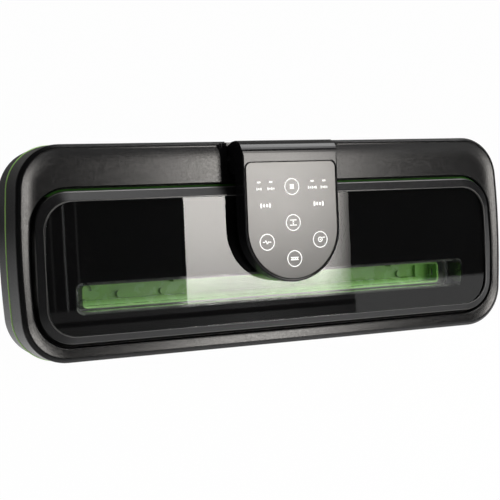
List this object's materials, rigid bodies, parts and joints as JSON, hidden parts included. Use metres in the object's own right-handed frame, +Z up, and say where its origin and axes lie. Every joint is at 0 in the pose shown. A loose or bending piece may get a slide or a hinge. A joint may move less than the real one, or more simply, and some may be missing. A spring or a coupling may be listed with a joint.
{
  "type": "vacuum sealer",
  "caption": "Countertop vacuum sealer with a hinged windowed lid, a swing-up locking handle carrying the control panel, coupled side latches, a drip tray and a heated sealing bar",
  "frame": {"origin": "middle of the footprint on the surface the feet stand on", "axes": "+X along the body, -Y towards the user who feeds the bag in, +Z up"},
  "size_m": [0.4326, 0.163, 0.098],
  "materials": {
    "black_body": "fine matt texture",
    "deck_black": "matt",
    "trim_green": "glossy",
    "tray_green": "satin",
    "bezel_grey": "satin",
    "print_black": "opaque dark print behind the window",
    "window_clear": "polished clear plastic",
    "handle_black": "satin to glossy",
    "panel_grey": "polished printed cover",
    "soft_rubber": "matt",
    "seal_aluminium": "brushed",
    "heater_alloy": "brushed",
    "ptfe_tape": "coated glass cloth",
    "steel": "bright zinc",
    "socket_black": "matt",
    "contact_metal": "plated",
    "board_green": "lacquered",
    "transformer_core": "varnished",
    "motor_steel": "plated",
    "tube_silicone": "translucent silicone",
    "led_white": "clear diffused"
  },
  "bodies": {
    "base": {"base_shell": "black_body", "trim_band": "trim_green", "base_deck": "deck_black", "rubber_feet": "soft_rubber", "base_screws": "steel", "lower_gasket": "soft_rubber", "drip_tray": "tray_green", "seal_bar": "seal_aluminium", "heating_strip": "heater_alloy", "sealing_tape": "ptfe_tape", "latch_catches": "steel", "inlet_socket": "socket_black", "inlet_pins": "contact_metal", "power_board": "board_green", "transformer": "transformer_core", "pump_motor": "motor_steel", "pump_head": "socket_black", "vacuum_tube": "tube_silicone", "lid_switch": "socket_black"},
    "lid": {"lid_frame": "black_body", "gap_trim": "trim_green", "bezel": "bezel_grey", "bezel_screws": "steel", "window": "window_clear", "window_mask": "print_black", "strip_holder": "deck_black", "press_strip": "soft_rubber", "hinge_pins": "steel"},
    "handle": {"handle_cover": "handle_black", "handle_base": "handle_black", "control_panel": "panel_grey", "control_board": "board_green", "indicator_leds": "led_white", "touch_pads": "contact_metal", "handle_shaft": "steel", "handle_screws": "steel"},
    "links": {"link_rods": "steel"},
    "latches": {"latch_hooks": "steel"}
  },
  "joints": [
    {"name": "lid_hinge", "type": "hinge", "parent": "base", "child": "lid", "pos_m": [0, 0.0725, 0.0585], "axis": [-1, 0, 0], "range_deg": [0, 65]},
    {"name": "handle_hinge", "type": "hinge", "parent": "lid", "child": "handle", "pos_m": [0, 0.067, 0.0716], "axis": [-1, 0, 0], "range_deg": [0, 45]},
    {"name": "link_slide", "type": "slide", "parent": "lid", "child": "links", "axis": [0, -1, 0], "range_m": [0, 0.0054]},
    {"name": "latch_turn", "type": "hinge", "parent": "lid", "child": "latches", "pos_m": [0, -0.068, 0.0565], "axis": [1, 0, 0], "range_deg": [0, 34.7]}
  ],
  "couplings": [
    {"joint": "link_slide", "follows": "handle_hinge", "m_per_rad": 0.006821},
    {"joint": "latch_turn", "follows": "handle_hinge", "ratio": 0.76619}
  ]
}
